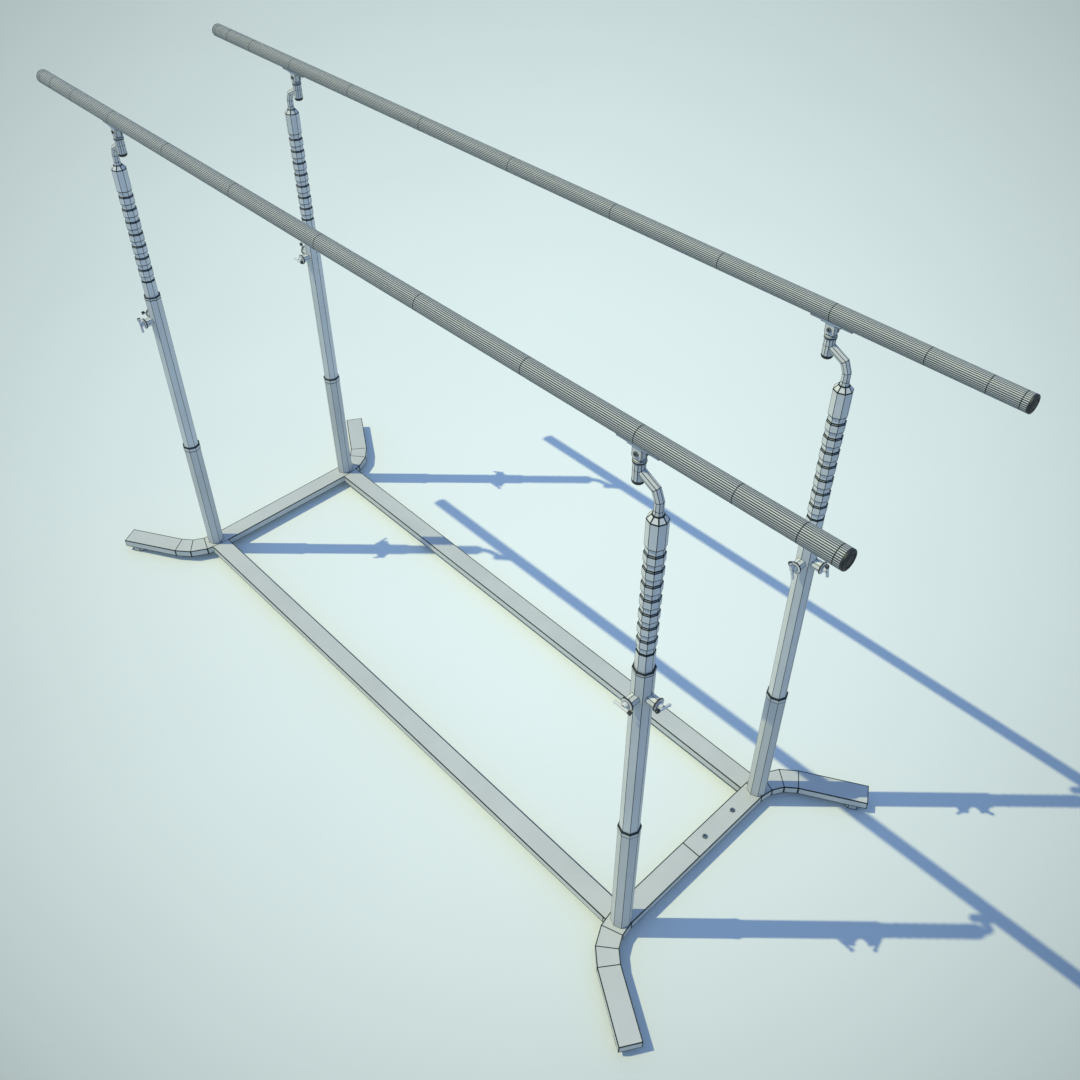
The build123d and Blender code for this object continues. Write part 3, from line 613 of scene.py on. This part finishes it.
def fluted_rail(side):
    """The gripping rail, with its flutes, the lines across it and the far T-slots."""
    cad = f"{side}_rail"
    low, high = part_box(cad)
    y, z = (low.y + high.y) / 2, (low.z + high.z) / 2
    pin_low, pin_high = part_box(f"swivel_pin_far_{side}")
    swivel = (pin_low.x + pin_high.x) / 2
    slots = [(swivel + start, swivel + stop) for start, stop in SLOT_FROM_SWIVEL]
    ring = flute_ring()
    stations = rail_stations(high.x, slots)
    count = len(ring)
    bottom = 5 * (3 * FLUTES // 4)
    in_slot = {(bottom + step) % count for step in range(-1, 4)}
    vertices, faces, dark = [], [], []
    for x, all_cut in stations:
        for angle, cut in ring:
            radius = RAIL_R - FLUTE_DEPTH if cut or all_cut else RAIL_R
            vertices.append((x, y + radius * cos(angle), z + radius * sin(angle)))
    for i in range(len(stations) - 1):
        middle = (stations[i][0] + stations[i + 1][0]) / 2
        slotted = any(start < middle < stop for start, stop in slots)
        crossed = stations[i][1] or stations[i + 1][1]
        for j in range(count):
            if slotted and j in in_slot:
                continue
            k = (j + 1) % count
            faces.append((i * count + j, i * count + k, (i + 1) * count + k, (i + 1) * count + j))
            dark.append(crossed or ring[j][1] or ring[k][1])
    last = (len(stations) - 1) * count
    faces.append(tuple(range(count)))
    faces.append(tuple(last + j for j in reversed(range(count))))
    dark.extend((False, False))
    for slot in slots:
        start = len(vertices)
        points, walls = slot_walls(*slot, y, z)
        vertices.extend(points)
        faces.extend([start + index for index in wall] for wall in walls)
        dark.extend([True] * len(walls))
    mesh = bpy.data.meshes.new(f"{cad}_fluted")
    mesh.from_pydata(vertices, [], faces)
    mesh.polygons.foreach_set("material_index", [int(value) for value in dark])
    bm = bmesh.new()
    bm.from_mesh(mesh)
    bmesh.ops.remove_doubles(bm, verts=bm.verts, dist=0.000002)
    bmesh.ops.recalc_face_normals(bm, faces=bm.faces)
    bm.to_mesh(mesh)
    bm.free()
    made = add_piece(f"{cad}_fluted", mesh, body_of(cad), "rail_laminate", RAIL_GREY, LINE)
    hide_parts(cad)
    paint(f"{side}_rail_caps", BLACK)


# ---------------------------------------------------------------- clamp levers
def lever_axes(post, face):
    """Joint place, outward axis, and the way to the bar's gripped end."""
    joint = JOINTS[f"lever_turn_{post}_{face}"]
    origin = Vector(joint["pos_m"])
    axis = Vector(joint["axis"]).normalized()
    best = Vector()
    for vertex in NODES[f"clamp_lever_{post}_{face}"].data.vertices:
        offset = vertex.co - origin
        flat = offset - axis * offset.dot(axis)
        if flat.length > best.length:
            best = flat
    return origin, axis, -best.normalized()


def ribbed_tube(centre, axis, start, stop, inner, outer, ribs, depth):
    """Closed tube round an axis, its outside cut into ribs."""
    side = axis.orthogonal().normalized()
    up = axis.cross(side)
    vertices, faces = [], []
    count = 4 * ribs
    for height, swell in ((start, 0.0), (start + depth, 1.0), (stop - depth, 1.0), (stop, 0.0)):
        for j in range(count):
            angle = 2 * pi * j / count
            way = side * cos(angle) + up * sin(angle)
            rib = depth if j % 4 in (0, 1) else 0.0
            radius = outer - depth + swell * rib
            vertices.append(centre + axis * height + way * radius)
    for height in (stop, start):
        for j in range(count):
            angle = 2 * pi * j / count
            way = side * cos(angle) + up * sin(angle)
            vertices.append(centre + axis * height + way * inner)
    for i in range(6):
        for j in range(count):
            k = (j + 1) % count
            i_next = (i + 1) % 6
            faces.append((i * count + j, i * count + k, i_next * count + k, i_next * count + j))
    return vertices, faces


def dress_lever(post, face):
    name = f"clamp_lever_{post}_{face}"
    paint(name, LEVER_PAINT)
    edging(name, CORNER_LINE, angle=40.0)
    origin, axis, grip = lever_axes(post, face)
    rim = ribbed_tube(origin, axis, KNURL_INSET, DISC_THICKNESS - KNURL_INSET,
                      KNURL_INNER_R, KNURL_OUTER_R, KNURLS, KNURL_DEPTH)
    piece = f"{name}_knurl"
    add_piece(piece, mesh_of(piece, *rim), body_of(name), "black_plastic", BLACK)
    sleeve = ribbed_tube(origin + axis * BAR_HEIGHT, grip, GRIP_FROM, GRIP_TO,
                         GRIP_INNER_R, GRIP_R, GRIP_RIBS, GRIP_RIB_DEPTH)
    piece = f"{name}_grip"
    add_piece(piece, mesh_of(piece, *sleeve), body_of(name), "black_plastic", BLACK)


dress_base()
dress_uprights()
dress_arms()
for which in SIDES:
    fluted_rail(which)
for which in POSTS:
    for direction in FACES:
        dress_lever(which, direction)


# ---------------------------------------------------------------- floor
FLOOR_SIZE = 40.0
POOL_CENTRE = (-0.271, 0.734, 0.0)     # the middle of the painted pool of light
POOL_RIGHT = (0.691, 0.723, 0.0)
POOL_AWAY = (-0.723, 0.691, 0.0)
POOL_START = 6.667                     # the pool fans out from this far behind its middle
POOL_NARROWEST = 2.5
POOL_SPREAD = 0.3735
POOL_DEPTH = 1.845
FLOOR_TINT = (0.828, 0.886, 0.856)
FLOOR_PAINTED_FALLOFF = ((0.0, 1.0), (0.25, 0.765), (0.5, 0.56), (1.0, 0.42))     # painted fall-off of the light, outwards from the middle


def make_floor():
    """Pale floor with a painted pool of light: its colour darkens softly away from the middle of the
    set.
    """
    mesh = bpy.data.meshes.new("floor")
    bm = bmesh.new()
    bmesh.ops.create_grid(bm, x_segments=4, y_segments=4, size=FLOOR_SIZE / 2)
    bm.to_mesh(mesh)
    bm.free()
    floor = bpy.data.objects.new("floor", mesh)
    bpy.context.scene.collection.objects.link(floor)
    g = Graph("floor_paper_painted_light_pool")
    right = g.along(POOL_RIGHT, POOL_CENTRE)
    away = g.along(POOL_AWAY, POOL_CENTRE)
    fan = g.math("MAXIMUM", g.math("ADD", away, POOL_START), POOL_NARROWEST)
    u = g.math("DIVIDE", right, g.math("MULTIPLY", fan, POOL_SPREAD))
    v = g.math("MULTIPLY", g.math("DIVIDE", away, fan), POOL_DEPTH)
    far = g.math("ADD", g.math("MULTIPLY", u, u), g.math("MULTIPLY", v, v))
    stops = [(position, shade(FLOOR_TINT, factor)) for position, factor in FLOOR_PAINTED_FALLOFF]
    # painted pool of light: the floor's colour darkens outwards from the middle of the set
    painted_pool = g.ramp(g.math("MULTIPLY", far, 0.25), stops)
    soft = g.span(g.noise(0.6, detail=3.0), 0.3, 0.7, 0.0, 0.06)
    clouded = g.mix(soft, painted_pool, shade(FLOOR_TINT, 0.5))
    floor.data.materials.append(g.finish(clouded, 0.9, specular=0.1))


make_floor()


# ---------------------------------------------------------------- light
SUN_DIRECTION = (0.4515, 0.4600, -1.0)
SUN_ENERGY = 2.5
SUN_COLOUR = (1.0, 0.952, 0.569)
SUN_ANGLE = 0.45                       # degrees across
SKY = (0.254, 0.395, 0.69)
BACKDROP = (0.50, 0.58, 0.57)


def add_sun(name, direction, energy, colour, angle):
    lamp = bpy.data.lights.new(name, "SUN")
    lamp.energy = energy
    lamp.color = colour
    lamp.angle = radians(angle)
    made = bpy.data.objects.new(name, lamp)
    made.rotation_euler = Vector(direction).to_track_quat("-Z", "Y").to_euler()
    bpy.context.scene.collection.objects.link(made)


def make_world(name, sky, backdrop):
    """Even sky light, with a pale backdrop where the camera sees past the floor."""
    world = bpy.data.worlds.new(name)
    bpy.context.scene.world = world
    world.use_nodes = True
    tree = world.node_tree
    tree.nodes["Background"].inputs["Color"].default_value = (*sky, 1.0)
    pale = tree.nodes.new("ShaderNodeBackground")
    pale.inputs["Color"].default_value = (*backdrop, 1.0)
    rays = tree.nodes.new("ShaderNodeLightPath")
    mix = tree.nodes.new("ShaderNodeMixShader")
    tree.links.new(rays.outputs["Is Camera Ray"], mix.inputs[0])
    tree.links.new(tree.nodes["Background"].outputs[0], mix.inputs[1])
    tree.links.new(pale.outputs[0], mix.inputs[2])
    tree.links.new(mix.outputs[0], tree.nodes["World Output"].inputs["Surface"])


add_sun("key", SUN_DIRECTION, SUN_ENERGY, SUN_COLOUR, SUN_ANGLE)
make_world("studio", SKY, BACKDROP)


# ---------------------------------------------------------------- camera
SENSOR = 36.0
LENS = 36.763
SHIFT = (-0.0013, -0.0532)
AZIMUTH, ELEVATION = 46.257, 40.448    # degrees, of the camera seen from the bars
CAMERA_PLACE = (2.4032, -1.8169, 3.5083)
CLIP_END = 200.0


def make_camera():
    data = bpy.data.cameras.new("camera")
    data.sensor_width = SENSOR
    data.lens = LENS
    data.shift_x, data.shift_y = SHIFT
    data.clip_end = CLIP_END
    made = bpy.data.objects.new("camera", data)
    azimuth, elevation = radians(AZIMUTH), radians(ELEVATION)
    back = Vector((sin(azimuth) * cos(elevation), -cos(azimuth) * cos(elevation), sin(elevation)))
    made.rotation_euler = (-back).to_track_quat("-Z", "Y").to_euler()
    made.location = CAMERA_PLACE
    bpy.context.scene.collection.objects.link(made)
    bpy.context.scene.camera = made


make_camera()
bpy.context.scene.view_settings.view_transform = "Standard"
